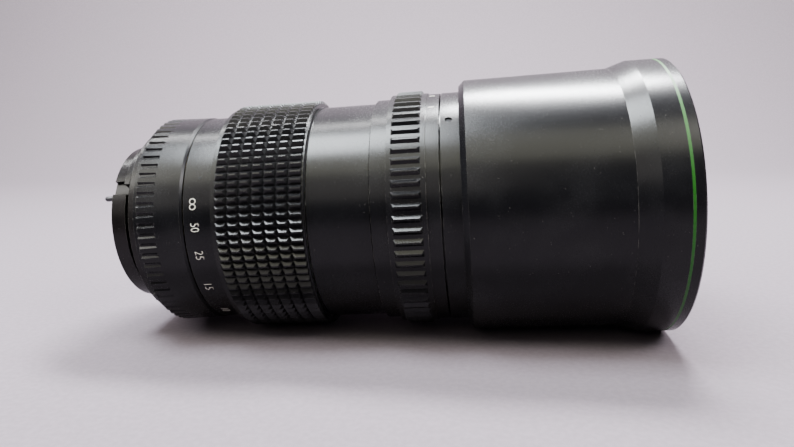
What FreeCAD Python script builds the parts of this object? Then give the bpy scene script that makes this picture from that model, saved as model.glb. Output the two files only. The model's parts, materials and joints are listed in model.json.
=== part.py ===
import FreeCAD, Part
import math
import os

from FreeCAD import Vector

# A manual telephoto zoom lens. Millimetres. +X runs along the optical axis to the front,
# +Z is up, and the origin is on the axis at the front face of the bayonet's notched ring.
# Angles are measured about +X, from +Y towards +Z.

# Clearances
running_gap = 0.06
slide_gap = 0.08
free_gap = 0.35
seam_gap = 0.55
screw_gap = 0.02
cut_over = 1.0

# The radius that the outer tubes follow
rear_barrel_r = 31.0

# Bayonet mount
lug_to_seat = 3.75
flange_r = rear_barrel_r - 2.0
seat_r = flange_r - 2.7
seat_recess = 0.25
flange_t = 2.5
lug_r = 24.3
spigot_r = lug_r - 1.7
spigot_wall_t = 1.7
spigot_bore_r = spigot_r - spigot_wall_t
lug_len = 4.2
notch_depth = 1.1
notch_deg = 10.0
notch_at_deg = 146.2
notch_count = 3
ridge_r = seat_r - 0.3
ridge_len = 1.5
ridge_from_deg = 30.0
ridge_to_deg = 145.8
mount_screw_count = 4
mount_screw_r = 1.0
mount_screw_head_r = 1.9
mount_screw_head_t = 0.9
mount_screw_len = 4.6
screw_slot = 0.5
mount_screw_pcr = seat_r + 0.1
mount_screw_at_deg = 45.0

# Stop-down lever
pin_r = 0.8
pin_to_bore = 1.3
pin_at_r = spigot_bore_r - pin_to_bore
pin_at_deg = 149.5
pin_reach = 5.3
lever_t = 1.0
lever_outside_pin = 1.6
lever_inside_pin = 1.7
lever_seat_r = pin_at_r + lever_outside_pin
lever_bore_r = pin_at_r - lever_inside_pin
spring_wire_r = 0.3
spring_from_deg = 190.0
spring_to_deg = 330.0
lever_lug_deg = 6.0
lug_gap_deg = 1.0
spring_gap = 0.2
pin_neck_r = 0.6
pin_neck_len = 0.5

# Rear barrel, carrying the aperture ring
rear_barrel_wall = 1.6
rear_plate_t = 2.4
rear_lip_r = rear_barrel_r + 0.25
rear_lip_len = 1.2
lip_setback = 0.3
click_at_deg = 30.0
click_back = 4.5
leaf_t = 0.25
leaf_w = 3.0
leaf_deg = 40.0
detent_depth = 0.3

# Aperture ring
aperture_setback = 1.9
aperture_len = 13.1
aperture_r = rear_barrel_r + 1.6
aperture_front_r = aperture_r - 0.4
aperture_chamfer = 0.6
flute_len = 5.5
flute_count = 70
flute_at_deg = 3.8
flute_w = 1.45
flute_floor_w = 0.5
flute_depth = 0.5
flute_ramp = 0.8
click_stop_deg = 10.0
click_stop_count = 7
tab_w = 2.6
tab_len = 1.0
tab_t = 0.8
tab_inset = 0.2
tab_at_deg = 216.0

# Focus ring and rubber grip
scale_r = rear_barrel_r + 0.9
scale_len = 8.8
scale_wall = 1.4
spigot_setback = 1.5
spigot_wall = 1.6
carrier_r = scale_r + 1.1
carrier_wall = 2.0
web_t = 3.0
web_at = 22.0
grip_base_r = carrier_r + 1.15
grip_stud_r = grip_base_r + 1.0
grip_column_count = 7
grip_row_count = 92
row_at_deg = 1.6
column_pitch = 3.46
column_land = 1.9
row_land = 0.4
grip_margin = 1.2
stud_over = 0.5
grip_front_rim = 0.5
last_column_extra = 0.25

# Guide tube, the backbone
guide_r = rear_barrel_r - 7.6
guide_wall = 1.8

# Focus sleeve and focusing group
sleeve_wall = 2.0
focus_roller_r = 1.1
focus_travel = -9.0
focus_low_deg = -276.0
focus_high_deg = 24.0
groove_depth = 1.25
focus_roller_at = 21.75
focus_screw_r = 1.0
focus_screw_len = 3.6
screw_bite = 0.6
focus_group_back = 4.5

# Centre barrel
barrel_r = carrier_r - 0.1
barrel_len = 17.3
barrel_wall = 1.6
zoom_seat_r = barrel_r - 1.0
bulkhead_t = 3.0

# Zoom ring
zoom_step_r = zoom_seat_r + 2.0
zoom_step_len = 4.5
rib_flange_len = 1.1
rib_len = 8.4
rib_root_r = zoom_step_r + 1.2
rib_r = rib_root_r + 0.8
rib_count = 70
rib_at_deg = 1.4
rib_land = 0.4
rib_base = 2.6
rib_bevel = 0.8
rib_sunk = 0.3
skirt_r = rib_root_r - 0.4
skirt_len = 3.6
zoom_low_deg = -38.0
zoom_high_deg = 26.0

# Cam sleeve, variator and compensator
cam_sleeve_wall = 1.8
zoom_roller_r = 1.5
variator_travel = -12.0
compensator_travel = 6.0
variator_at = 9.8
compensator_at = 26.3
roller_deg = 90.0
track_count = 3
drive_pin_r = 1.5
drive_pin_at_deg = 156.0
drive_pin_at = 2.4
drive_pin_bite = 1.3
track_over = 0.3

# Front collar, housing and front ring
collar_r = skirt_r + 0.1
collar_len = 5.1
collar_web_t = 2.0
set_screw_at = 2.2
set_screw_sunk = 0.6
set_screw_r = 1.0
set_screw_count = 3
set_screw_at_deg = 129.0
housing_web_t = 3.0
housing_small_r = collar_r + 1.6
housing_r = housing_small_r + 1.7
housing_chamfer_len = 1.6
housing_front_r = housing_r + 0.3
housing_len = 42.8
housing_wall = 1.6
flare_r = housing_front_r + 1.8
flare_len = 5.4
front_ring_len = 15.5
filter_r = flare_r - 2.08
filter_depth = 6.5
ring_tail = 3.0
ring_tail_wall = 1.1
rim_edge = 0.5
line_back = 3.4
line_w = 0.7
line_depth = 0.35

# Iris
blade_count = 6
blade_t = 0.1
blade_pitch = 0.2
blade_inner_r = guide_r - 12.3
blade_outer_r = guide_r - 6.2
blade_start_deg = -3.0
blade_span_deg = 118.0
pivot_at_r = guide_r - 5.4
pivot_r = 0.5
pivot_pad_r = 1.5
drive_offset = 2.0
drive_pin_small_r = 0.4
drive_pad_r = 0.85
drive_ring_t = 0.9
drive_ring_bore_r = guide_r - 4.5
drive_slot_in = 0.6
iris_margin = 0.4
iris_close_deg = 29.0
iris_rim = 0.5
iris_plate_t = 0.8
iris_cover_bore_r = guide_r - 9.4

# Glass
rear_glass_r = lever_bore_r - 2.4
rear_cell_wall = 1.6
rear_cell_len = 11.0
group_glass_r = guide_r - 4.9
group_cell_len = 9.0
roller_inset = 2.2
roller_edge = 2.0
glass_edge_t = 2.2
glass_land = 2.4
retainer_t = 1.4
retainer_web = 2.2
objective_glass_r = housing_r - 6.6
objective_len = 22.0
objective_rear_len = 6.0
objective_air = 4.0
objective_edge_t = 4.0
objective_wall = 2.0
spanner_w = 1.6
spanner_depth = 0.7

# How far each element's rear and front face bulge out, or in where negative
rear_bulges = (2.2, 0.9)
inner_rear_bulges = (0.8, -0.7)
focusing_bulges = (0.8, 1.6)
variator_bulges = (-0.7, -0.5)
compensator_bulges = (-0.9, 1.2)
second_bulges = (-2.0, 1.5)
front_bulges = (-1.2, 5.0)


def at(x, r, deg):
    """The point at a place on the axis, a radius and an angle."""
    a = math.radians(deg)
    return Vector(x, r * math.cos(a), r * math.sin(a))


AXIS = Vector(1, 0, 0)
ORIGIN = Vector(0, 0, 0)


def turned(shape, deg):
    """A copy of the shape turned about the optical axis."""
    copy = shape.copy()
    copy.rotate(ORIGIN, AXIS, deg)
    return copy


def around(shape, count):
    """Copies of the shape, evenly spaced about the optical axis."""
    return [turned(shape, i * 360.0 / count) for i in range(count)]


def lathe(points):
    """Revolves a profile of (x, r) points about the optical axis."""
    loop = [Vector(x, r, 0) for x, r in points]
    face = Part.Face(Part.makePolygon(loop + loop[:1]))
    return face.revolve(ORIGIN, AXIS, 360)


def tube(x0, x1, r_out, r_in):
    return lathe([(x0, r_in), (x1, r_in), (x1, r_out), (x0, r_out)])


def rod(x, deg, r_from, r_to, radius):
    """A radial pin."""
    direction = at(0, 1, deg)
    return Part.makeCylinder(radius, r_to - r_from, at(x, r_from, deg), direction)


def axial_rod(x0, x1, r, deg, radius):
    return Part.makeCylinder(radius, x1 - x0, at(x0, r, deg), AXIS)


def sector(x0, x1, r_in, r_out, deg0, deg1):
    """A ring piece between two angles."""
    loop = [Vector(x0, r_in, 0), Vector(x1, r_in, 0), Vector(x1, r_out, 0), Vector(x0, r_out, 0)]
    face = Part.Face(Part.makePolygon(loop + loop[:1]))
    return turned(face.revolve(ORIGIN, AXIS, deg1 - deg0), deg0)


def helix_cut(x_of, deg0, deg1, width, r_in, r_out):
    """The space that a helical slot or groove takes out of a sleeve's wall."""
    steps = max(4, int(abs(deg1 - deg0) / 8.0))
    sections = []
    for i in range(steps + 1):
        deg = deg0 + (deg1 - deg0) * i / steps
        low = x_of(deg) - width / 2
        high = x_of(deg) + width / 2
        loop = [at(low, r_in, deg), at(low, r_out, deg), at(high, r_out, deg), at(high, r_in, deg)]
        sections.append(Part.makePolygon(loop + loop[:1]))
    return Part.makeLoft(sections, True, True)


def cam_slots(roller_x, travel, low_deg, high_deg, roller_r, r_in, r_out):
    """Slots that move rollers by a travel while the sleeve turns from its low to its high end."""
    per_deg = travel / (high_deg - low_deg)
    slope = math.degrees(per_deg) / r_in
    width = 2 * roller_r * math.hypot(1, slope) + 2 * slide_gap
    over = math.degrees((roller_r * 1.15 + slide_gap) / r_in)

    def x_of(deg):
        return roller_x + per_deg * (roller_deg - deg)

    cut = helix_cut(x_of, roller_deg - high_deg - over, roller_deg - low_deg + over, width, r_in, r_out)
    return around(cut, track_count)


def straight_slots(x0, x1, deg, width, r_in, r_out):
    """Straight slots along the axis, with round ends."""
    middle = Part.makeBox(x1 - x0, width, r_out - r_in, Vector(x0, -width / 2, r_in))
    ends = [rod(x, 90, r_in, r_out, width / 2) for x in (x0, x1)]
    slot = middle.fuse(ends).removeSplitter()
    return around(turned(slot, deg - 90), track_count)


def retaining_ring(x0, x1, r_out, r_in, front):
    """A threaded ring with two spanner notches, cut in its front or rear face."""
    ring = tube(x0, x1, r_out, r_in)
    x = x1 - spanner_depth if front else x0 - spanner_depth
    notch = Part.makeBox(2 * spanner_depth, spanner_w, 2 * r_out, Vector(x, -spanner_w / 2, -r_out))
    return ring.cut(notch)


def lens_glass(x0, edge_t, r, bulges):
    """A round element: flat rim, and two spherical faces inside a flat land."""
    cap_r = r - glass_land

    def cap(x, bulge, side):
        ball_r = (cap_r * cap_r + bulge * bulge) / (2 * abs(bulge))
        sag = ball_r - math.sqrt(ball_r * ball_r - cap_r * cap_r / 4)
        mid_bulge = bulge - math.copysign(sag, bulge)
        return Vector(x + side * bulge, 0, 0), Vector(x + side * mid_bulge, cap_r / 2, 0), Vector(x, cap_r, 0)

    x1 = x0 + edge_t
    rear_pole, rear_mid, rear_land = cap(x0, bulges[0], -1)
    front_pole, front_mid, front_land = cap(x1, bulges[1], 1)
    rear_rim = Vector(x0, r, 0)
    front_rim = Vector(x1, r, 0)
    edges = [
        Part.Arc(rear_pole, rear_mid, rear_land).toShape(),
        Part.makeLine(rear_land, rear_rim),
        Part.makeLine(rear_rim, front_rim),
        Part.makeLine(front_rim, front_land),
        Part.Arc(front_land, front_mid, front_pole).toShape(),
        Part.makeLine(front_pole, rear_pole),
    ]
    return Part.Face(Part.Wire(edges)).revolve(ORIGIN, AXIS, 360)


# Places along the axis, from the bayonet's notched ring forwards
flange_x = lug_to_seat + flange_t
plate_front_x = flange_x + rear_plate_t
aperture_rear_x = flange_x + aperture_setback
aperture_front_x = aperture_rear_x + aperture_len
rear_barrel_front_x = aperture_front_x - free_gap
focus_rear_x = aperture_front_x + seam_gap
grip_rear_x = focus_rear_x + scale_len
grip_studs_x = grip_rear_x + grip_margin + grip_column_count * column_pitch + last_column_extra
grip_front_x = grip_studs_x + grip_front_rim
barrel_rear_x = grip_front_x + free_gap
barrel_front_x = barrel_rear_x + barrel_len
zoom_rear_x = barrel_front_x + free_gap
rib_zone_x = zoom_rear_x + zoom_step_len
ribs_x = rib_zone_x + rib_flange_len
skirt_x = ribs_x + rib_len + rib_flange_len
zoom_front_x = skirt_x + skirt_len
collar_x = zoom_front_x + seam_gap
collar_front_x = collar_x + collar_len
housing_front_x = collar_front_x + housing_len
rim_x = housing_front_x + front_ring_len

# Radii and places that pieces share
guide_bore_r = guide_r - guide_wall
sleeve_bore_r = guide_r + running_gap
focus_sleeve_r = sleeve_bore_r + sleeve_wall
cam_sleeve_r = sleeve_bore_r + cam_sleeve_wall
focus_sleeve_x = rear_barrel_front_x + free_gap
focus_sleeve_front_x = barrel_rear_x - free_gap
cam_sleeve_x = barrel_rear_x + bulkhead_t + free_gap
cam_sleeve_front_x = collar_front_x - collar_web_t - free_gap
focus_roller_x = focus_sleeve_x + focus_roller_at
variator_roller_x = cam_sleeve_x + variator_at
compensator_roller_x = cam_sleeve_x + compensator_at
focus_web_x = focus_rear_x + web_at
drive_pin_x = zoom_rear_x + drive_pin_at
scale_bore_r = scale_r - scale_wall
barrel_bore_r = zoom_seat_r - barrel_wall
housing_bore_r = housing_r - housing_wall
cell_r = guide_bore_r - slide_gap
objective_cell_r = objective_glass_r + objective_wall
iris_x = plate_front_x + iris_plate_t
blades_x = iris_x + iris_plate_t + blade_t
drive_ring_x = blades_x + blade_count * blade_pitch
iris_front_x = drive_ring_x + drive_ring_t + blade_t
click_ball_r = rear_barrel_wall / 2
click_x = rear_barrel_front_x - rear_plate_t - click_back
roller_tracks = [
    (focus_roller_x, focus_travel, focus_low_deg, focus_high_deg, focus_roller_r),
    (variator_roller_x, variator_travel, zoom_low_deg, zoom_high_deg, zoom_roller_r),
    (compensator_roller_x, compensator_travel, zoom_low_deg, zoom_high_deg, zoom_roller_r),
]
lever_x = flange_x + free_gap
wall_bore_r = rear_barrel_r - rear_barrel_wall
lip_x = flange_x + lip_setback


def fused(base, others):
    return base.fuse(others).removeSplitter()


def mount_screw_rod(x0, x1, radius):
    return axial_rod(x0, x1, mount_screw_pcr, mount_screw_at_deg, radius)


def bayonet_mount():
    """Notched ring, spigot with an arc ridge, and flange with its raised seat."""
    recess_x = lug_to_seat + seat_recess
    body = lathe([
        (-lug_len, spigot_bore_r), (flange_x, spigot_bore_r), (flange_x, flange_r), (lug_to_seat, flange_r),
        (lug_to_seat, seat_r), (recess_x, seat_r), (recess_x, spigot_r), (0, spigot_r),
        (0, lug_r), (-lug_len, lug_r),
    ])
    ridge = sector(0, ridge_len, spigot_bore_r, ridge_r, ridge_from_deg, ridge_to_deg)
    notch = sector(
        -lug_len - cut_over, 0, lug_r - notch_depth, lug_r + cut_over,
        notch_at_deg - notch_deg / 2, notch_at_deg + notch_deg / 2,
    )
    head_end_x = lug_to_seat + mount_screw_head_t + screw_gap
    head = mount_screw_rod(ridge_len, head_end_x, mount_screw_head_r + screw_gap)
    shank = mount_screw_rod(ridge_len, flange_x + cut_over, mount_screw_r + screw_gap)
    holes = around(head.fuse(shank), mount_screw_count)
    return fused(body.cut(around(notch, notch_count) + holes), [ridge])


def mount_screws():
    head_x = lug_to_seat + seat_recess + screw_gap
    head = mount_screw_rod(head_x, lug_to_seat + mount_screw_head_t, mount_screw_head_r)
    shank = mount_screw_rod(head_x, lug_to_seat + mount_screw_len, mount_screw_r)
    half_slot = Vector(screw_slot / 2, screw_slot / 2, mount_screw_head_r)
    corner = at(head_x, mount_screw_pcr, mount_screw_at_deg) - half_slot
    slot = Part.makeBox(screw_slot, screw_slot, 2 * mount_screw_head_r, corner)
    return Part.makeCompound(around(head.fuse(shank).cut(slot), mount_screw_count))


def rear_barrel():
    """The fixed barrel that the aperture ring turns on: rear plate, lip, wall and front web."""
    web_x = rear_barrel_front_x - rear_plate_t
    lip_front_x = lip_x + rear_lip_len
    body = lathe([
        (flange_x, lever_seat_r), (plate_front_x, lever_seat_r), (plate_front_x, wall_bore_r),
        (web_x, wall_bore_r), (web_x, guide_r), (rear_barrel_front_x, guide_r),
        (rear_barrel_front_x, rear_barrel_r), (lip_front_x, rear_barrel_r), (lip_front_x, rear_lip_r),
        (lip_x, rear_lip_r), (lip_x, flange_r), (flange_x, flange_r),
    ])
    screw_hole = mount_screw_rod(flange_x - cut_over, plate_front_x + cut_over, mount_screw_r + screw_gap)
    ball_hole = rod(click_x, click_at_deg, wall_bore_r - cut_over, rear_barrel_r + cut_over, click_ball_r + screw_gap)
    return body.cut(around(screw_hole, mount_screw_count) + [ball_hole])


def click_ball():
    return Part.makeSphere(click_ball_r, at(click_x, wall_bore_r + click_ball_r, click_at_deg))


def click_leaf_spring():
    return sector(
        click_x - leaf_w / 2, click_x + leaf_w / 2, wall_bore_r - leaf_t, wall_bore_r,
        click_at_deg - leaf_deg / 2, click_at_deg + leaf_deg / 2,
    )


def aperture_ring():
    """Fluted behind and smooth in front, turning on the rear barrel."""
    bore_r = rear_barrel_r + running_gap
    body = lathe([
        (aperture_rear_x, bore_r), (aperture_front_x, bore_r),
        (aperture_front_x, aperture_front_r - aperture_chamfer),
        (aperture_front_x - aperture_chamfer, aperture_front_r), (aperture_rear_x, aperture_r),
    ])
    floor_r = aperture_r - flute_depth
    top_r = aperture_r + flute_depth
    flute = Part.makeWedge(
        -1, floor_r, -flute_floor_w / 2, -flute_w, -1,
        flute_len - flute_ramp, top_r, flute_floor_w / 2, flute_w, flute_len + flute_ramp,
    )
    flute.translate(Vector(aperture_rear_x, 0, 0))
    detent = axial_rod(click_x - cut_over, click_x + cut_over, bore_r, click_at_deg, detent_depth)
    detents = [turned(detent, -i * click_stop_deg) for i in range(click_stop_count)]
    return body.cut(around(turned(flute, flute_at_deg), flute_count) + detents)


def coupling_tab():
    back = aperture_rear_x - tab_len
    half = math.degrees(tab_w / 2 / aperture_r)
    top_r = aperture_r - tab_inset
    return sector(back, aperture_rear_x, top_r - tab_t, top_r, tab_at_deg - half, tab_at_deg + half)


def stop_down_lever():
    """A ring that turns in the rear plate, with the pin that a camera moves and a lug for its spring."""
    front_x = lever_x + lever_t
    ring = tube(lever_x, front_x, lever_seat_r - running_gap, lever_bore_r)
    tip_x = -lug_len - pin_reach
    neck_x = -lug_len - pin_neck_len
    shaft = axial_rod(neck_x, lever_x + lever_t / 2, pin_at_r, pin_at_deg, pin_r)
    neck = axial_rod(neck_x - pin_neck_len, neck_x, pin_at_r, pin_at_deg, pin_neck_r)
    head = axial_rod(tip_x + pin_r, neck_x - pin_neck_len, pin_at_r, pin_at_deg, pin_r)
    tip = Part.makeSphere(pin_r, at(tip_x + pin_r, pin_at_r, pin_at_deg))
    lug_r = pin_at_r - pin_r
    lug = sector(
        front_x - lever_t / 2, front_x + 2 * spring_wire_r, lug_r, pin_at_r + pin_r,
        spring_to_deg + lug_gap_deg, spring_to_deg + lug_gap_deg + lever_lug_deg,
    )
    return fused(ring, [shaft, neck, head, tip, lug])


def stop_down_spring():
    """A bow of wire in front of the lever."""
    x = lever_x + lever_t + spring_wire_r + spring_gap
    span = spring_to_deg - spring_from_deg
    ring = Part.makeTorus(pin_at_r, spring_wire_r, at(x, 0, 0), AXIS, 0, 360, span)
    start = ring.CenterOfMass
    middle = math.degrees(math.atan2(start.z, start.y))
    return turned(ring, (spring_from_deg + spring_to_deg) / 2 - middle)


def guide_tube():
    """The backbone: a tube from the rear plate to the collar, with straight slots for the rollers."""
    body = tube(plate_front_x, collar_front_x, guide_r, guide_bore_r)
    cuts = []
    for x, travel, low, high, radius in roller_tracks:
        per_deg = travel / (high - low)
        ends = sorted([x + per_deg * low, x + per_deg * high])
        width = 2 * radius + 2 * slide_gap
        cuts += straight_slots(
            ends[0] - track_over, ends[1] + track_over, roller_deg, width, guide_bore_r - cut_over, guide_r + cut_over,
        )
    return body.cut(cuts)


def cell(roller_x, length, back, glass_r, roller_r, roller_len_in):
    """A lens cell: a tube with a seat for the glass in its front end."""
    x0 = roller_x - back
    x1 = x0 + length
    seat_x = x1 - glass_edge_t - retainer_t
    shoulder_r = glass_r - retainer_web
    body = lathe([
        (x0, shoulder_r), (seat_x, shoulder_r), (seat_x, glass_r), (x1, glass_r), (x1, cell_r), (x0, cell_r),
    ])
    hole = rod(roller_x, roller_deg, cell_r - roller_len_in, cell_r + cut_over, roller_r + screw_gap)
    return body.cut(around(hole, track_count))


def rollers(roller_x, roller_r, roller_len_in, top_r):
    roller = rod(roller_x, roller_deg, cell_r - roller_len_in, top_r, roller_r)
    return Part.makeCompound(around(roller, track_count))


def group_glass(x0, bulges):
    return lens_glass(x0, glass_edge_t, group_glass_r - screw_gap, bulges)


def focus_ring():
    """The metal carrier under the rubber, with the web that drives the focus sleeve."""
    back_x = focus_rear_x + spigot_setback
    web_front_x = focus_web_x + web_t
    hollow_r = carrier_r - carrier_wall
    spigot_bore = scale_bore_r - spigot_wall
    body = lathe([
        (back_x, spigot_bore), (focus_web_x, spigot_bore), (focus_web_x, focus_sleeve_r),
        (web_front_x, focus_sleeve_r), (web_front_x, hollow_r), (grip_front_x, hollow_r),
        (grip_front_x, carrier_r), (grip_rear_x, carrier_r), (grip_rear_x, scale_bore_r),
        (back_x, scale_bore_r),
    ])
    x = focus_web_x + web_t / 2
    hole = rod(x, roller_deg, focus_sleeve_r - cut_over, carrier_r + cut_over, focus_screw_r + screw_gap)
    return body.cut(around(hole, track_count))


def distance_scale_ring():
    return tube(focus_rear_x, grip_rear_x, scale_r, scale_bore_r)


def focus_grip():
    """The rubber sleeve: columns of pyramid studs left between ring grooves and straight grooves."""
    first_x = grip_rear_x + grip_margin
    valley = column_pitch - column_land
    profile = [(grip_rear_x, carrier_r), (grip_rear_x, grip_base_r), (first_x, grip_base_r)]
    for i in range(grip_column_count):
        x = first_x + i * column_pitch
        last = i == grip_column_count - 1
        land = column_land + (last_column_extra + valley / 2 if last else 0)
        profile.append((x + valley / 2, grip_stud_r))
        profile.append((x + valley / 2 + land, grip_stud_r))
        profile.append((x + column_pitch + (last_column_extra if last else 0), grip_base_r))
    profile += [(grip_front_x, grip_base_r), (grip_front_x, carrier_r)]
    sleeve = lathe(profile)
    row_w = 2 * math.pi * grip_stud_r / grip_row_count
    top_w = row_w - row_land
    rise = grip_stud_r - grip_base_r
    out = top_w * (rise + stud_over) / rise / 2
    back_x = first_x - stud_over
    top_r = grip_stud_r + stud_over
    groove = Part.Face(Part.makePolygon([
        Vector(back_x, 0, grip_base_r), Vector(back_x, out, top_r),
        Vector(back_x, -out, top_r), Vector(back_x, 0, grip_base_r),
    ])).extrude(Vector(grip_studs_x - back_x, 0, 0))
    return sleeve.cut(around(turned(groove, row_at_deg), grip_row_count))


def focus_sleeve():
    """The brass sleeve inside the focus ring: three helical grooves move the focusing cell."""
    body = tube(focus_sleeve_x, focus_sleeve_front_x, focus_sleeve_r, sleeve_bore_r)
    grooves = cam_slots(
        focus_roller_x, focus_travel, focus_low_deg, focus_high_deg,
        focus_roller_r, sleeve_bore_r - cut_over, sleeve_bore_r + groove_depth,
    )
    x = focus_web_x + web_t / 2
    hole = rod(x, roller_deg, focus_sleeve_r - screw_bite, focus_sleeve_r + cut_over, focus_screw_r + screw_gap)
    return body.cut(grooves + around(hole, track_count))


def focus_drive_screws():
    r0 = focus_sleeve_r - screw_bite
    screw = rod(focus_web_x + web_t / 2, roller_deg, r0, r0 + focus_screw_len, focus_screw_r)
    return Part.makeCompound(around(screw, track_count))


def centre_barrel():
    """The fixed smooth barrel: bulkhead on the guide tube, and the seat under the zoom ring."""
    bulkhead_front_x = barrel_rear_x + bulkhead_t
    end_x = collar_front_x - collar_web_t
    body = lathe([
        (barrel_rear_x, guide_r), (bulkhead_front_x, guide_r), (bulkhead_front_x, barrel_bore_r),
        (end_x, barrel_bore_r), (end_x, zoom_seat_r), (barrel_front_x, zoom_seat_r),
        (barrel_front_x, barrel_r), (barrel_rear_x, barrel_r),
    ])
    over = math.degrees((drive_pin_r + track_over) / barrel_bore_r)
    half = drive_pin_r + slide_gap
    slot = sector(
        drive_pin_x - half, drive_pin_x + half, barrel_bore_r - cut_over, zoom_seat_r + cut_over,
        drive_pin_at_deg + zoom_low_deg - over, drive_pin_at_deg + zoom_high_deg + over,
    )
    return body.cut(around(slot, track_count))


def zoom_ring():
    """Step, ribbed band and front skirt in one piece."""
    bore_r = zoom_seat_r + running_gap
    body = lathe([
        (zoom_rear_x, bore_r), (zoom_front_x, bore_r), (zoom_front_x, skirt_r), (skirt_x, skirt_r),
        (skirt_x, rib_root_r), (rib_zone_x, rib_root_r), (rib_zone_x, zoom_step_r),
        (zoom_rear_x, zoom_step_r),
    ])
    sunk_r = rib_root_r - rib_sunk
    rib = Part.makeWedge(
        0, sunk_r, -rib_base / 2, -rib_land / 2, rib_bevel,
        rib_len, rib_r, rib_base / 2, rib_land / 2, rib_len - rib_bevel,
    )
    rib.translate(Vector(ribs_x, 0, 0))
    end_r = bore_r + drive_pin_bite
    hole = rod(drive_pin_x, drive_pin_at_deg, bore_r - cut_over, end_r, drive_pin_r + screw_gap)
    return fused(body, around(turned(rib, rib_at_deg), rib_count)).cut(around(hole, track_count))


def cam_sleeve():
    """The sleeve inside the zoom ring: helical slots drive the variator and the compensator."""
    body = tube(cam_sleeve_x, cam_sleeve_front_x, cam_sleeve_r, sleeve_bore_r)
    cuts = []
    in_r = sleeve_bore_r - cut_over
    out_r = cam_sleeve_r + cut_over
    for x, travel in ((variator_roller_x, variator_travel), (compensator_roller_x, compensator_travel)):
        cuts += cam_slots(x, travel, zoom_low_deg, zoom_high_deg, zoom_roller_r, in_r, out_r)
    hole = rod(drive_pin_x, drive_pin_at_deg, in_r, out_r, drive_pin_r + screw_gap)
    return body.cut(cuts + around(hole, track_count))


def zoom_drive_pins():
    top_r = zoom_seat_r + running_gap + drive_pin_bite - screw_gap
    pin = rod(drive_pin_x, drive_pin_at_deg, sleeve_bore_r + screw_gap, top_r, drive_pin_r)
    return Part.makeCompound(around(pin, track_count))


def front_collar():
    """Joins the guide tube, the centre barrel and the front housing."""
    web_x = collar_front_x - collar_web_t
    body = lathe([
        (collar_x, zoom_seat_r), (web_x, zoom_seat_r), (web_x, guide_r), (collar_front_x, guide_r),
        (collar_front_x, collar_r), (collar_x, collar_r),
    ])
    x = collar_x + set_screw_at
    hole = rod(x, set_screw_at_deg, zoom_seat_r - cut_over, collar_r + cut_over, set_screw_r + screw_gap)
    return body.cut(around(hole, set_screw_count))


def collar_set_screws():
    x = collar_x + set_screw_at
    screw = rod(x, set_screw_at_deg, zoom_seat_r, collar_r - set_screw_sunk, set_screw_r)
    top_r = collar_r - set_screw_sunk
    slot = Part.makeBox(
        2 * set_screw_r, screw_slot, 2 * screw_slot,
        Vector(x - set_screw_r, -screw_slot / 2, top_r - screw_slot),
    )
    screw = screw.cut(turned(slot, set_screw_at_deg - 90))
    return Part.makeCompound(around(screw, set_screw_count))


def front_housing():
    """The long outer tube, with a web that sits on the objective cell."""
    web_front_x = collar_front_x + housing_web_t
    return lathe([
        (collar_front_x, objective_cell_r), (web_front_x, objective_cell_r), (web_front_x, housing_bore_r),
        (housing_front_x, housing_bore_r), (housing_front_x, housing_front_r),
        (collar_front_x + housing_chamfer_len, housing_r), (collar_front_x, housing_small_r),
    ])


def front_ring():
    """Flare and rim, with the filter thread's bore and the groove for the green line."""
    tail_bore_r = housing_bore_r - ring_tail_wall
    thread_x = rim_x - filter_depth
    line_x = rim_x - line_back
    return lathe([
        (housing_front_x - ring_tail, tail_bore_r), (thread_x, tail_bore_r), (thread_x, filter_r),
        (rim_x, filter_r), (rim_x, flare_r - rim_edge), (rim_x - rim_edge, flare_r),
        (line_x + line_w, flare_r), (line_x + line_w, flare_r - line_depth),
        (line_x, flare_r - line_depth), (line_x, flare_r), (housing_front_x + flare_len, flare_r),
        (housing_front_x, housing_front_r), (housing_front_x, housing_bore_r),
        (housing_front_x - ring_tail, housing_bore_r),
    ])


def green_line_ring():
    line_x = rim_x - line_back
    return tube(line_x, line_x + line_w, flare_r, flare_r - line_depth)


def objective_cell():
    seat_x = collar_front_x + objective_rear_len
    end_x = collar_front_x + objective_len
    shoulder_r = objective_glass_r - retainer_web
    return lathe([
        (collar_front_x, shoulder_r), (seat_x, shoulder_r), (seat_x, objective_glass_r),
        (end_x, objective_glass_r), (end_x, objective_cell_r), (collar_front_x, objective_cell_r),
    ])


def objective_places():
    """Where the second element, the spacer, the front element and the retaining ring start."""
    second_x = collar_front_x + objective_rear_len
    spacer_x = second_x + objective_edge_t
    front_x = spacer_x + objective_air
    return second_x, spacer_x, front_x, front_x + objective_edge_t


def objective_glass(x0, bulges):
    return lens_glass(x0, objective_edge_t, objective_glass_r - screw_gap, bulges)


def rear_cell():
    """Holds two rear elements, and hangs from a flange at the rear end of the guide tube."""
    rim_back_x = iris_x - iris_plate_t
    back_x = rim_back_x - rear_cell_len
    shoulder_r = rear_glass_r - retainer_web
    cell_out_r = rear_glass_r + rear_cell_wall
    rear_seat_x = back_x + retainer_t + glass_edge_t
    front_seat_x = iris_x - retainer_t - glass_edge_t
    return lathe([
        (back_x, rear_glass_r), (rear_seat_x, rear_glass_r), (rear_seat_x, shoulder_r),
        (front_seat_x, shoulder_r), (front_seat_x, rear_glass_r), (iris_x, rear_glass_r),
        (iris_x, guide_bore_r), (rim_back_x, guide_bore_r), (rim_back_x, cell_out_r), (back_x, cell_out_r),
    ])


def rear_glass(x0, bulges):
    return lens_glass(x0, glass_edge_t, rear_glass_r - screw_gap, bulges)


def iris_open_beta():
    return -iris_close_deg / 2


def drive_ring_deg(beta):
    """The iris drive ring's angle when a blade's drive pin stands at the angle beta."""
    b = math.radians(beta)
    return math.degrees(math.atan2(drive_offset * math.sin(b), pivot_at_r + drive_offset * math.cos(b)))


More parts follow.
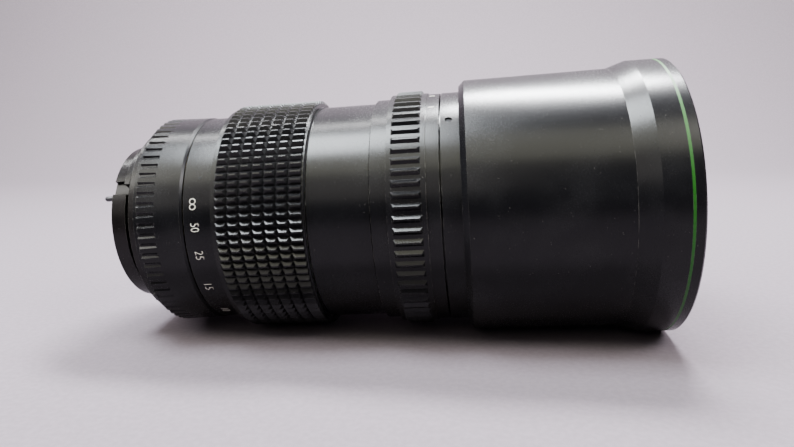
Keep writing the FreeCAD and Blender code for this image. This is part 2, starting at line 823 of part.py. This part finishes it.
def iris_housing():
    body = lathe([
        (iris_x, blade_inner_r + iris_margin), (iris_x + iris_plate_t, blade_inner_r + iris_margin),
        (iris_x + iris_plate_t, guide_bore_r - iris_rim), (iris_front_x, guide_bore_r - iris_rim),
        (iris_front_x, guide_bore_r), (iris_x, guide_bore_r),
    ])
    hole = axial_rod(iris_x - cut_over, iris_x + iris_plate_t + cut_over, pivot_at_r, 0, pivot_r + slide_gap)
    return body.cut(around(hole, blade_count))


def iris_cover():
    return tube(iris_front_x, iris_front_x + iris_plate_t, guide_bore_r, iris_cover_bore_r)


def iris_drive_ring():
    out_r = guide_bore_r - iris_rim - running_gap
    body = tube(drive_ring_x, drive_ring_x + drive_ring_t, out_r, drive_ring_bore_r)
    pin_r_open = pivot_at_r + drive_offset
    half = drive_pin_small_r + slide_gap
    slot = Part.makeBox(
        2 * drive_ring_t, 2 * half, 2 * drive_offset,
        Vector(drive_ring_x - drive_ring_t / 2, -half, pin_r_open - drive_slot_in),
    )
    slot = turned(slot, drive_ring_deg(iris_open_beta()) - 90)
    return body.cut(around(slot, blade_count))


def iris_blade(i):
    """A thin curved blade, in its own layer, with a pivot pin behind and a drive pin in front."""
    x0 = blades_x + i * blade_pitch
    x1 = x0 + blade_t
    pin_deg = math.radians(iris_open_beta())
    pin_y = pivot_at_r + drive_offset * math.cos(pin_deg)
    pin_z = drive_offset * math.sin(pin_deg)
    arc = sector(x0, x1, blade_inner_r, blade_outer_r, blade_start_deg, blade_span_deg)
    tip_r = (blade_outer_r - blade_inner_r) / 2
    tip = axial_rod(x0, x1, blade_inner_r + tip_r, blade_span_deg, tip_r)
    pad = axial_rod(x0, x1, pivot_at_r, 0, pivot_pad_r)
    drive_pad = Part.makeCylinder(drive_pad_r, blade_t, Vector(x0, pin_y, pin_z), AXIS)
    pivot = axial_rod(iris_x + running_gap, x1, pivot_at_r, 0, pivot_r)
    drive_end_x = drive_ring_x + drive_ring_t - running_gap
    drive_pin = Part.makeCylinder(drive_pin_small_r, drive_end_x - x0, Vector(x0, pin_y, pin_z), AXIS)
    blade = fused(arc, [tip, pad, drive_pad, pivot, drive_pin])
    return turned(blade, i * 360.0 / blade_count)


def pieces():
    """Every piece of the lens, by name."""
    second_x, spacer_x, front_x, retainer_x = objective_places()
    rear_back_x = iris_x - iris_plate_t - rear_cell_len
    groove_floor_r = sleeve_bore_r + groove_depth
    variator_back = group_cell_len - roller_edge
    found = {
        "bayonet_mount": bayonet_mount(),
        "mount_screws": mount_screws(),
        "rear_barrel": rear_barrel(),
        "click_ball": click_ball(),
        "click_leaf_spring": click_leaf_spring(),
        "stop_down_lever": stop_down_lever(),
        "stop_down_spring": stop_down_spring(),
        "aperture_ring": aperture_ring(),
        "aperture_coupling_tab": coupling_tab(),
        "guide_tube": guide_tube(),
        "rear_cell": rear_cell(),
        "rear_element": rear_glass(rear_back_x + retainer_t, rear_bulges),
        "inner_rear_element": rear_glass(iris_x - retainer_t - glass_edge_t, inner_rear_bulges),
        "rear_retaining_ring": retaining_ring(
            rear_back_x, rear_back_x + retainer_t, rear_glass_r, rear_glass_r - retainer_web, False,
        ),
        "inner_rear_retaining_ring": retaining_ring(
            iris_x - retainer_t, iris_x, rear_glass_r, rear_glass_r - retainer_web, True,
        ),
        "iris_housing": iris_housing(),
        "iris_drive_ring": iris_drive_ring(),
        "iris_cover": iris_cover(),
        "focus_ring": focus_ring(),
        "distance_scale_ring": distance_scale_ring(),
        "focus_grip": focus_grip(),
        "focus_sleeve": focus_sleeve(),
        "focus_drive_screws": focus_drive_screws(),
        "centre_barrel": centre_barrel(),
        "zoom_ring": zoom_ring(),
        "cam_sleeve": cam_sleeve(),
        "zoom_drive_pins": zoom_drive_pins(),
        "front_collar": front_collar(),
        "collar_set_screws": collar_set_screws(),
        "front_housing": front_housing(),
        "front_ring": front_ring(),
        "green_line_ring": green_line_ring(),
        "objective_cell": objective_cell(),
        "second_element": objective_glass(second_x, second_bulges),
        "objective_spacer": tube(spacer_x, front_x, objective_glass_r, objective_glass_r - retainer_web),
        "front_element": objective_glass(front_x, front_bulges),
        "objective_retaining_ring": retaining_ring(
            retainer_x, retainer_x + retainer_t,
            objective_glass_r, objective_glass_r - retainer_web, True,
        ),
    }
    groups = [
        ("focusing", focus_roller_x, focus_group_back, focus_roller_r, groove_floor_r, focusing_bulges),
        ("variator", variator_roller_x, variator_back, zoom_roller_r, cam_sleeve_r, variator_bulges),
        ("compensator", compensator_roller_x, roller_edge, zoom_roller_r, cam_sleeve_r, compensator_bulges),
    ]
    for name, x, back, radius, top_r, bulges in groups:
        end_x = x - back + group_cell_len
        found[name + "_cell"] = cell(x, group_cell_len, back, group_glass_r, radius, roller_inset)
        found[name + "_lens"] = group_glass(end_x - retainer_t - glass_edge_t, bulges)
        found[name + "_retaining_ring"] = retaining_ring(
            end_x - retainer_t, end_x, group_glass_r, group_glass_r - retainer_web, True,
        )
        found[name + "_rollers"] = rollers(x, radius, roller_inset, top_r - slide_gap)
    for i in range(blade_count):
        found["iris_blade_" + str(i + 1)] = iris_blade(i)
    return found


os.makedirs("parts", exist_ok=True)
for name, shape in pieces().items():
    shape.exportStep("parts/" + name + ".step")
    print(name, len(shape.Solids), round(shape.Volume, 1), shape.isValid())
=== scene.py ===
import json
import math

import bpy
from mathutils import Matrix, Vector


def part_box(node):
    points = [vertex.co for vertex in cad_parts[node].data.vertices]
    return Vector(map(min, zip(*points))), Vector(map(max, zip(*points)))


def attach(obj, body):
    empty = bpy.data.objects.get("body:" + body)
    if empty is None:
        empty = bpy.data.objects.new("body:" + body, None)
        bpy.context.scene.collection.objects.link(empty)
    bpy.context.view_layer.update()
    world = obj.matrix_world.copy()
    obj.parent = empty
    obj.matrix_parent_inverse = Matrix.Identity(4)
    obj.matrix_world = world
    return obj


# A manual telephoto zoom lens on a pale table. Metres. +X runs along the optical axis to the
# front, +Z is up, and -Y is towards the camera. Angles are measured about +X from +Y towards +Z.

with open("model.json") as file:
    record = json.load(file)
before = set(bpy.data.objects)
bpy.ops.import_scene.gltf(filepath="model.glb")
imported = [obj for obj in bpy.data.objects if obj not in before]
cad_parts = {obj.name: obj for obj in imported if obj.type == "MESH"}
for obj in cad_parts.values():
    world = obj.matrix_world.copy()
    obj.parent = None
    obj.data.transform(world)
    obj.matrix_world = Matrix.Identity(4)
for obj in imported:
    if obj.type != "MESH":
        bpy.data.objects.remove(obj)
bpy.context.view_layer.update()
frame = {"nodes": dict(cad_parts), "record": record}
nodes = frame["nodes"]
mm = 0.001

# The camera, as read back from the edges of the rings in the photograph
photo_width_px = 794
focal_length_px = 620.93
sensor_width_mm = 36.0
camera_along = 102.12 * mm
camera_away = 195.80 * mm
camera_drop = 4.77 * mm
camera_swing = math.radians(7.147)
camera_roll = math.radians(2.717)
camera_elevation = math.radians(10.0)


def make_camera():
    """The photograph's viewing angle."""
    tilt = Matrix.Rotation(-camera_elevation, 4, "X")
    turn = Matrix.Rotation(camera_swing, 4, "Z")
    level = Matrix.Rotation(math.radians(90), 4, "X")
    roll = Matrix.Rotation(-camera_roll, 4, "Z")
    data = bpy.data.cameras.new("photo_camera")
    data.sensor_width = sensor_width_mm
    data.lens = focal_length_px * sensor_width_mm / photo_width_px
    data.clip_start = 0.01
    data.dof.use_dof = False
    camera = bpy.data.objects.new("photo_camera", data)
    bpy.context.scene.collection.objects.link(camera)
    place = tilt @ Vector((camera_along, -camera_away, -camera_drop))
    camera.matrix_world = Matrix.Translation(place) @ tilt @ turn @ level @ roll
    bpy.context.scene.camera = camera


make_camera()


# Shader maths

class Number:
    """A value that varies over a surface. Sums on it add Math nodes."""

    def __init__(self, finish, socket):
        self.finish = finish
        self.socket = socket

    def maths(self, operation, *values):
        return self.finish.node("ShaderNodeMath", {"operation": operation}, *values)

    def __add__(self, other):
        return self.maths("ADD", self, other)

    __radd__ = __add__

    def __mul__(self, other):
        return self.maths("MULTIPLY", self, other)

    __rmul__ = __mul__

    def __sub__(self, other):
        return self.maths("SUBTRACT", self, other)

    def __rsub__(self, other):
        return self.maths("SUBTRACT", other, self)

    def __pow__(self, other):
        return self.maths("POWER", self, other)


class Finish:
    """A material built round one Principled shader."""

    def __init__(self, name, colour, roughness, metallic=0.0, **constants):
        self.material = bpy.data.materials.new(name)
        self.material.use_nodes = True
        self.tree = self.material.node_tree
        self.tree.nodes.clear()
        self.shader = self.tree.nodes.new("ShaderNodeBsdfPrincipled")
        output = self.tree.nodes.new("ShaderNodeOutputMaterial")
        self.tree.links.new(self.shader.outputs[0], output.inputs[0])
        self.set("Base Color", (*colour, 1.0))
        self.set("Roughness", roughness)
        self.set("Metallic", metallic)
        for socket, value in constants.items():
            self.set(socket.replace("_", " "), value)
        self.place = self.node("ShaderNodeTexCoord", {}, out="Object")

    def fill(self, socket, value):
        if isinstance(value, Number):
            self.tree.links.new(value.socket, socket)
        else:
            socket.default_value = value

    def set(self, name, value):
        self.fill(self.shader.inputs[name], value)

    def node(self, kind, settings, *values, out=0, **named):
        """Adds a node of a type, with its settings, and its inputs by place or by name."""
        made = self.tree.nodes.new(kind)
        for key, value in settings.items():
            setattr(made, key, value)
        for i, value in enumerate(values):
            self.fill(made.inputs[i], value)
        for name, value in named.items():
            self.fill(made.inputs[name.replace("_", " ")], value)
        return Number(self, made.outputs[out])

    def ramp(self, value, low, high):
        """0 below the low value, 1 above the high one, smooth between."""
        settings = {"interpolation_type": "SMOOTHSTEP"}
        return self.node("ShaderNodeMapRange", settings, value, low, high, 0.0, 1.0)

    def mix(self, share, first, second):
        """A colour between two colours."""
        made = self.tree.nodes.new("ShaderNodeMix")
        made.data_type = "RGBA"
        self.fill(made.inputs[0], share)
        self.fill(made.inputs[6], first if isinstance(first, Number) else (*first, 1.0))
        self.fill(made.inputs[7], second if isinstance(second, Number) else (*second, 1.0))
        return Number(self, made.outputs[2])

    def noise(self, size, detail=2.0, place=None):
        """Soft noise with lumps of a size in metres."""
        return self.node(
            "ShaderNodeTexNoise", {}, Vector=place or self.place, Scale=1 / size, Detail=detail,
        )

    def specks(self, size, share):
        """Round specks in cells of a size in metres, more of them the larger the share."""
        settings = {"feature": "F1"}
        near = self.node("ShaderNodeTexVoronoi", settings, Vector=self.place, Scale=1 / size)
        lone = self.noise(size * 2.3, 0.0)
        return (1 - self.ramp(near, 0.12, 0.2)) * self.ramp(lone, 1 - share, 1.02 - share)

    def turned_place(self, along, about):
        """Coordinates that follow a turned part: stretched along the axis and about it."""
        parts = self.tree.nodes.new("ShaderNodeSeparateXYZ")
        self.tree.links.new(self.place.socket, parts.inputs[0])
        x, y, z = [Number(self, socket) for socket in parts.outputs]
        angle = x.maths("ARCTAN2", z, y)
        radius = (y * y + z * z) ** 0.5
        return self.node("ShaderNodeCombineXYZ", {}, x * along, angle * about, radius)

    def worn_and_glint_edges(self, radius):
        """1 within a radius of a sharp edge, 0 on flats and round curves."""
        rounded = self.node("ShaderNodeBevel", {"samples": 4}, Radius=radius)
        plain = self.node("ShaderNodeNewGeometry", {}, out="Normal")
        product = {"operation": "DOT_PRODUCT"}
        alike = self.node("ShaderNodeVectorMath", product, rounded, plain, out="Value")
        return 1 - self.ramp(alike, 0.72, 0.96)

    def bump(self, height, depth, strength=1.0, edge=0.0):
        """Dents of a depth in metres, and edges rounded to a radius in metres."""
        made = self.node("ShaderNodeBump", {}, Strength=strength, Distance=depth, Height=height)
        if edge:
            rounded = self.node("ShaderNodeBevel", {"samples": 4}, Radius=edge)
            self.fill(made.socket.node.inputs["Normal"], rounded)
        self.set("Normal", made)


# Finishes

black_gloss = 0.175
rubber_gloss = 0.19
paint_gloss = 0.25
dust_colour = (0.2, 0.19, 0.18)
rubber_dust_colour = (0.16, 0.155, 0.15)
dust_cover = 0.35
# Lighter grey for sharp edges: partly rubbed bare metal, partly a painted highlight along the
# edges.
rubbed_and_glint_grey = (0.21, 0.2, 0.185)
smudge_cover = 0.26
worn_share = 0.72


def anodised(name, colour, roughness, grain=0.6, wear_and_glint=0.0):
    """Black anodised metal: fine grain, turning lines, smudges, dust, and edges painted lighter
    grey, partly as rubbed wear and partly as a painted highlight along the edges.
    """
    finish = Finish(name, colour, roughness, Specular_IOR_Level=black_gloss)
    grains = finish.noise(0.35 * mm, 2.0)
    lines = finish.noise(1.0, 2.0, finish.turned_place(2600.0, 5.0))
    smudges = finish.noise(16 * mm, 3.0)
    dust = finish.specks(0.55 * mm, 0.27)
    pale = tuple(min(1.0, c * 2.2 + 0.012) for c in colour)
    black = finish.mix(finish.ramp(smudges, 0.4, 0.8) * smudge_cover, colour, pale)
    # Edges painted lighter grey in random patches: partly rubbed wear, partly a painted highlight
    # on the flutes and ribs.
    if wear_and_glint:
        patches = finish.ramp(finish.noise(1.8 * mm, 2.0), 0.38, 0.62)
        black = finish.mix(finish.worn_and_glint_edges(0.16 * mm) * patches * wear_and_glint, black, rubbed_and_glint_grey)
    finish.set("Base Color", finish.mix(dust * dust_cover, black, dust_colour))
    finish.set("Roughness", (smudges - 0.5) * 0.05 + (grains - 0.5) * 0.12 + roughness)
    finish.bump(grains * grain + lines * 0.35, 0.009 * mm, edge=0.06 * mm)
    return finish.material


def rubber_finish():
    """Moulded rubber: fine grain, rubbed patches and dust."""
    fresh = (0.0036, 0.0036, 0.0042)
    rubbed = (0.008, 0.0078, 0.0076)
    finish = Finish("studded_rubber", fresh, 0.3, Specular_IOR_Level=rubber_gloss)
    grains = finish.noise(0.3 * mm, 3.0)
    patches = finish.noise(7 * mm, 2.0)
    dust = finish.specks(0.5 * mm, 0.34)
    black = finish.mix(finish.ramp(patches, 0.4, 0.7) * 0.5, fresh, rubbed)
    finish.set("Base Color", finish.mix(dust * dust_cover, black, rubber_dust_colour))
    finish.set("Roughness", 0.18 + grains * 0.14)
    finish.bump(grains, 0.01 * mm, 0.6)
    return finish.material


def turned_metal(name, colour, roughness):
    """Bare turned metal with fine lines about the axis."""
    finish = Finish(name, colour, roughness, metallic=1.0)
    lines = finish.noise(1.0, 3.0, finish.turned_place(4200.0, 3.0))
    stains = finish.noise(9 * mm, 2.0)
    dull = tuple(c * worn_share for c in colour)
    finish.set("Base Color", finish.mix(finish.ramp(stains, 0.45, 0.8), colour, dull))
    finish.set("Roughness", lines * 0.2 + (roughness - 0.1))
    finish.bump(lines, 0.01 * mm)
    return finish.material


def glass_finish():
    """Coated glass, tinted dark to paint in the shade inside a deep lens, with a painted reflection
    colour that is green face-on and turns magenta towards the edges.
    """
    # A dark tint that paints in the shade inside the lens. The green is also the painted reflection
    # seen face-on, and the magenta is the painted reflection at the edges.
    green = (0.22, 0.3, 0.27)
    magenta = (0.2, 0.14, 0.28)
    finish = Finish(
        "coated_glass", green, 0.0,
        Transmission_Weight=1.0, IOR=1.52, Specular_IOR_Level=0.1,
        Coat_Weight=0.12, Coat_Roughness=0.01, Coat_Tint=(0.55, 1.0, 0.7, 1.0),
    )
    # Painted reflection: the colour turns from green to magenta as the glass turns away from the
    # view.
    facing = finish.node("ShaderNodeLayerWeight", {}, 0.35, out="Facing")
    finish.set("Base Color", finish.mix(facing, green, magenta))
    return finish.material


def paint_finish(name, colour, roughness):
    """Filled or printed paint, slightly uneven."""
    finish = Finish(name, colour, roughness, Specular_IOR_Level=paint_gloss)
    patches = finish.noise(0.6 * mm, 2.0)
    worn = tuple(c * worn_share for c in colour)
    finish.set("Base Color", finish.mix(finish.ramp(patches, 0.45, 0.75), colour, worn))
    finish.bump(patches, 0.01 * mm, 0.6)
    return finish.material


finishes = {
    "satin_black": anodised("satin_black", (0.0022, 0.0022, 0.0028), 0.255, wear_and_glint=0.5),
    "mount_black": anodised("mount_black", (0.0035, 0.0028, 0.0029), 0.25, 0.35, wear_and_glint=0.6),
    "black_rubber": rubber_finish(),
    "inner_black": anodised("inner_black", (0.004, 0.004, 0.004), 0.62, 0.8),
    "bare_aluminium": turned_metal("bare_aluminium", (0.6, 0.6, 0.62), 0.34),
    "sleeve_brass": turned_metal("sleeve_brass", (0.66, 0.5, 0.24), 0.32),
    "bright_steel": turned_metal("bright_steel", (0.56, 0.56, 0.57), 0.28),
    "dark_steel": turned_metal("dark_steel", (0.06, 0.06, 0.064), 0.4),
    "coated_glass": glass_finish(),
    "green_line": paint_finish("green_line", (0.005, 0.062, 0.003), 0.4),
}
white_paint = paint_finish("white_paint", (0.56, 0.54, 0.48), 0.5)

for part in frame["record"]["subparts"]:
    mesh = nodes[part["node"]].data
    mesh.materials.clear()
    mesh.materials.append(finishes[part["material_slot"]])


# Printed marks. Their angles are counted upwards from the line that is nearest to the camera.

facing_deg = 170.0
mark_sunk = 0.06 * mm
mark_proud = 0.02 * mm
mark_edge_r = 0.03 * mm
figure_height = 2.4 * mm
stop_height = 2.2 * mm
stop_along = 17.6 * mm
first_stop_deg = 100
stop_step_deg = 10
flute_root = 0.3 * mm
digit_width = 1.1 * mm
point_share = 0.4
zoom_skirt_r = 34.7 * mm
zoom_tick_along = 91.35 * mm

# Distance, degrees up, place along the axis in mm and width in mm
distance_figures = [
    ("50", -5.9, 24.95, 2.4),
    ("25", -20.4, 25.1, 2.6),
    ("15", -40.0, 24.95, 2.2),
    ("10", -63.6, 25.45, 2.2),
    ("8", -84.0, 25.45, 1.2),
    ("7", -104.0, 25.45, 1.2),
    ("6", -131.0, 25.45, 1.2),
    ("5", -168.0, 25.45, 1.2),
    ("4.5", -194.0, 25.45, 3.0),
    ("4", -232.0, 25.45, 1.2),
]
stop_figures = ["2.8", "4", "5.6", "8", "11", "16", "22"]


def finish_piece(piece, name, material, body):
    """Applies a new piece's place and says what it rides on."""
    piece.name = name
    bpy.ops.object.select_all(action="DESELECT")
    piece.select_set(True)
    bpy.context.view_layer.objects.active = piece
    bpy.ops.object.transform_apply(location=True, rotation=True, scale=True)
    piece.data.materials.clear()
    piece.data.materials.append(material)
    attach(piece, body)
    return piece


def on_barrel(along, up_deg, radius):
    """A frame on the barrel: its axes run down past the camera, towards the front and outwards."""
    angle = math.radians(facing_deg - up_deg)
    out = Vector((0, math.cos(angle), math.sin(angle)))
    down = Vector((0, -math.sin(angle), math.cos(angle)))
    turn = Matrix((down, (1, 0, 0), out)).transposed().to_4x4()
    return Matrix.Translation(Vector((along, 0, 0)) + out * radius) @ turn


def printed_text(name, words, along, up_deg, radius, height, width, rides):
    """Plain figures printed on a ring, with their tops towards the front."""
    bpy.ops.object.select_all(action="DESELECT")
    bpy.ops.object.text_add(location=(0, 0, 0), rotation=(0, 0, 0))
    text = bpy.context.object
    text.data.body = words
    text.data.resolution_u = 5
    text.data.offset = -0.018
    bpy.ops.object.convert(target="MESH")
    piece = bpy.context.object
    bpy.ops.object.mode_set(mode="EDIT")
    bpy.ops.mesh.select_all(action="SELECT")
    bpy.ops.mesh.remove_doubles(threshold=0.0001)
    bpy.ops.mesh.extrude_region_move(TRANSFORM_OT_translate={"value": (0, 0, 1)})
    bpy.ops.mesh.select_all(action="SELECT")
    bpy.ops.mesh.normals_make_consistent(inside=False)
    bpy.ops.object.mode_set(mode="OBJECT")
    corners = [Vector(corner) for corner in piece.bound_box]
    low = Vector([min(corner[i] for corner in corners) for i in range(3)])
    high = Vector([max(corner[i] for corner in corners) for i in range(3)])
    middle = (low + high) / 2
    size = high - low
    fit = Matrix.Diagonal((width / size.x, height / size.y, mark_sunk + mark_proud, 1.0))
    centred = Matrix.Translation((-middle.x, -middle.y, 0))
    piece.matrix_world = on_barrel(along, up_deg, radius - mark_sunk) @ fit @ centred
    return finish_piece(piece, name, white_paint, rides)


def printed_bar(name, along, up_deg, radius, length, width, rides, material=white_paint):
    """A short bar along the axis on a ring, with its corners and edges rounded."""
    bpy.ops.object.select_all(action="DESELECT")
    bpy.ops.mesh.primitive_cube_add(size=1.0)
    piece = bpy.context.object
    thick = mark_sunk + mark_proud
    lift = Matrix.Translation((0, 0, (mark_proud - mark_sunk) / 2))
    piece.matrix_world = lift @ Matrix.Diagonal((width, length, thick, 1.0))
    bpy.ops.object.transform_apply(location=True, rotation=True, scale=True)
    bpy.ops.object.mode_set(mode="EDIT")
    bpy.ops.mesh.select_all(action="SELECT")
    bpy.ops.mesh.bevel(offset=mark_edge_r, segments=3, affect="EDGES")
    bpy.ops.object.mode_set(mode="OBJECT")
    piece.matrix_world = on_barrel(along, up_deg, radius)
    return finish_piece(piece, name, material, rides)


def printed_loops(name, along, up_deg, radius, loop_r, stroke_r, rides):
    """Two loops that meet, one below the other: the mark for far away."""
    bpy.ops.object.select_all(action="DESELECT")
    loops = []
    for side in (-1, 1):
        bpy.ops.mesh.primitive_torus_add(
            location=(side * (loop_r + stroke_r / 2), 0, 0), major_segments=32, minor_segments=8,
            major_radius=loop_r, minor_radius=stroke_r,
        )
        loops.append(bpy.context.object)
    bpy.ops.object.select_all(action="DESELECT")
    for loop in loops:
        loop.select_set(True)
    bpy.context.view_layer.objects.active = loops[0]
    bpy.ops.object.join()
    piece = bpy.context.object
    bpy.ops.object.transform_apply(location=True, rotation=True, scale=True)
    flat = Matrix.Diagonal((1.0, 1.1, 0.35, 1.0))
    piece.matrix_world = on_barrel(along, up_deg, radius - 0.025 * mm) @ flat
    return finish_piece(piece, name, white_paint, rides)


def ring_radius(name):
    """A ring's outer radius, read from its box."""
    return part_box(name)[1].z


def piece_name(kind, words):
    """A name for a printed figure, with no point in it."""
    return kind + "_" + words.replace(".", "_")


def make_marks():
    """Distances on the focus ring, stops on the aperture ring and ticks on the zoom ring."""
    scale_r = ring_radius("distance_scale_ring")
    printed_loops("far_mark", 24.55 * mm, 5.9, scale_r, 0.74 * mm, 0.1 * mm, "focus")
    for words, up_deg, along, width in distance_figures:
        printed_text(
            piece_name("distance", words), words, along * mm, up_deg, scale_r,
            figure_height, width * mm, "focus",
        )
    printed_bar(
        "scale_nick", 26.45 * mm, 19.3, scale_r, 0.7 * mm, 0.8 * mm, "focus",
        finishes["inner_black"],
    )
    stop_r = ring_radius("aperture_ring") - flute_root
    for i, words in enumerate(stop_figures):
        width = digit_width * sum(point_share if c == "." else 1.0 for c in words)
        printed_text(
            piece_name("stop", words), words, stop_along, first_stop_deg + stop_step_deg * i,
            stop_r, stop_height, width, "aperture",
        )
    for name, up_deg in (("zoom_tick_1", 68.3), ("zoom_tick_2", 52.4)):
        printed_bar(name, zoom_tick_along, up_deg, zoom_skirt_r, 1.6 * mm, 0.3 * mm, "zoom")


make_marks()


# The filter thread

thread_pitch = 0.75 * mm
thread_turns = 7
thread_start = 151.45 * mm
thread_bore_r = 38.12 * mm
thread_sunk = 0.1 * mm
thread_ridge_r = 0.3 * mm
thread_steps = 96


def make_filter_thread():
    """The ridge that winds round the inside of the rim, which a filter screws on to."""
    bpy.ops.object.select_all(action="DESELECT")
    bpy.ops.mesh.primitive_circle_add(
        vertices=3, radius=thread_ridge_r,
        location=(thread_start, 0, thread_bore_r + thread_sunk), rotation=(-math.pi / 2, 0, 0),
    )
    piece = bpy.context.object
    bpy.ops.object.transform_apply(location=True, rotation=True, scale=True)
    wind = piece.modifiers.new("wind", "SCREW")
    wind.axis = "X"
    wind.steps = thread_steps
    wind.render_steps = thread_steps
    wind.iterations = thread_turns
    wind.screw_offset = thread_pitch
    wind.use_smooth_shade = False
    bpy.ops.object.modifier_apply(modifier="wind")
    bpy.ops.object.mode_set(mode="EDIT")
    bpy.ops.mesh.select_all(action="SELECT")
    bpy.ops.mesh.fill_holes(sides=3)
    bpy.ops.mesh.select_all(action="SELECT")
    bpy.ops.mesh.normals_make_consistent(inside=False)
    bpy.ops.object.mode_set(mode="OBJECT")
    finish_piece(piece, "filter_thread_ring", finishes["satin_black"], "barrel")


make_filter_thread()


# The table, its backdrop and the lights

sheet_run = 3.0
sheet_width = 5.0
sheet_in_front = 0.9
sheet_flat = 0.45
sheet_curve_r = 0.3
rim_edge = 0.5 * mm


def make_table():
    """A pale sheet that runs back and curves up. The lens lies on its grip and rim."""
    grip_low, grip_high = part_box("focus_grip")
    rim_low, rim_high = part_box("front_ring")
    edge = rim_high.x - rim_edge
    slope = math.atan2(grip_low.z - rim_low.z, edge - grip_low.x)
    bpy.ops.object.select_all(action="DESELECT")
    bpy.ops.mesh.primitive_grid_add(x_subdivisions=2, y_subdivisions=60, size=1.0)
    table = bpy.context.object
    table.name = "table"
    for vertex in table.data.vertices:
        run = (vertex.co.y + 0.5) * sheet_run - sheet_in_front
        angle = min(max(0.0, run - sheet_flat) / sheet_curve_r, math.pi / 2)
        rise = max(0.0, run - sheet_flat - sheet_curve_r * math.pi / 2)
        back = min(run, sheet_flat) + sheet_curve_r * math.sin(angle)
        up = sheet_curve_r * (1 - math.cos(angle)) + rise
        vertex.co = Vector((vertex.co.x * sheet_width, back, up))
    bpy.ops.object.shade_smooth()
    pivot = Vector((edge, 0, rim_low.z))
    table.matrix_world = Matrix.Translation(pivot) @ Matrix.Rotation(slope, 4, "Y")
    dark = (0.114, 0.0975, 0.112)
    light = (0.127, 0.109, 0.125)
    finish = Finish("pale_sheet", dark, 0.75, Specular_IOR_Level=0.0)
    flecks = finish.noise(1.6 * mm, 3.0)
    lit = finish.ramp(flecks, 0.3, 0.75)
    finish.set("Base Color", finish.mix(lit, dark, light))
    finish.bump(flecks, 0.1 * mm, 0.5)
    table.data.materials.append(finish.material)


def area_light(name, place, target, width, height, watts, colour):
    """A lamp with a rectangular face that points at a target."""
    data = bpy.data.lights.new(name, "AREA")
    data.shape = "RECTANGLE"
    data.size = width
    data.size_y = height
    data.energy = watts
    data.color = colour
    light = bpy.data.objects.new(name, data)
    bpy.context.scene.collection.objects.link(light)
    facing = (Vector(target) - Vector(place)).to_track_quat("-Z", "Y")
    light.matrix_world = Matrix.Translation(place) @ facing.to_matrix().to_4x4()


middle = (0.09, 0.0, 0.0)

# Name, place, what it points at, width, height, watts and colour
lamps = [
    ("overhead_left", (-0.08, -0.085, 0.6), (-0.08, -0.085, 0), 0.26, 0.25, 16.2, (0.9, 0.96, 1.0)),
    ("overhead_right", (0.2, 0.235, 0.57), middle, 0.26, 0.11, 28.0, (0.95, 0.97, 1.0)),
    ("ceiling", (0.0, -0.55, 0.9), middle, 1.4, 0.5, 12.5, (1.0, 0.98, 0.78)),
    ("low_glow", (-0.3, -1.2, 0.75), middle, 1.0, 0.6, 4.0, (1.0, 0.93, 0.85)),
    ("backdrop_wash", (0.04, 0.3, 0.85), (0.04, 1.0, 0.42), 1.2, 0.3, 74.0, (1, 1, 1)),
    ("table_right", (0.58, -0.26, 0.5), (0.24, -0.16, 0), 0.3, 0.3, 8.5, (1.0, 0.97, 0.98)),
    ("table_left", (-0.46, -0.26, 0.46), (-0.05, -0.14, 0), 0.3, 0.3, 3.8, (1.0, 0.97, 0.98)),
]


def make_light():
    """Two lamps overhead, a dim ceiling, a wash on the backdrop and a lamp on each side."""
    world = bpy.data.worlds.new("room")
    world.use_nodes = True
    background = world.node_tree.nodes["Background"]
    background.inputs[0].default_value = (0.92, 0.92, 1.0, 1)
    background.inputs[1].default_value = 0.06
    bpy.context.scene.world = world
    for lamp in lamps:
        area_light(*lamp)


make_table()
make_light()
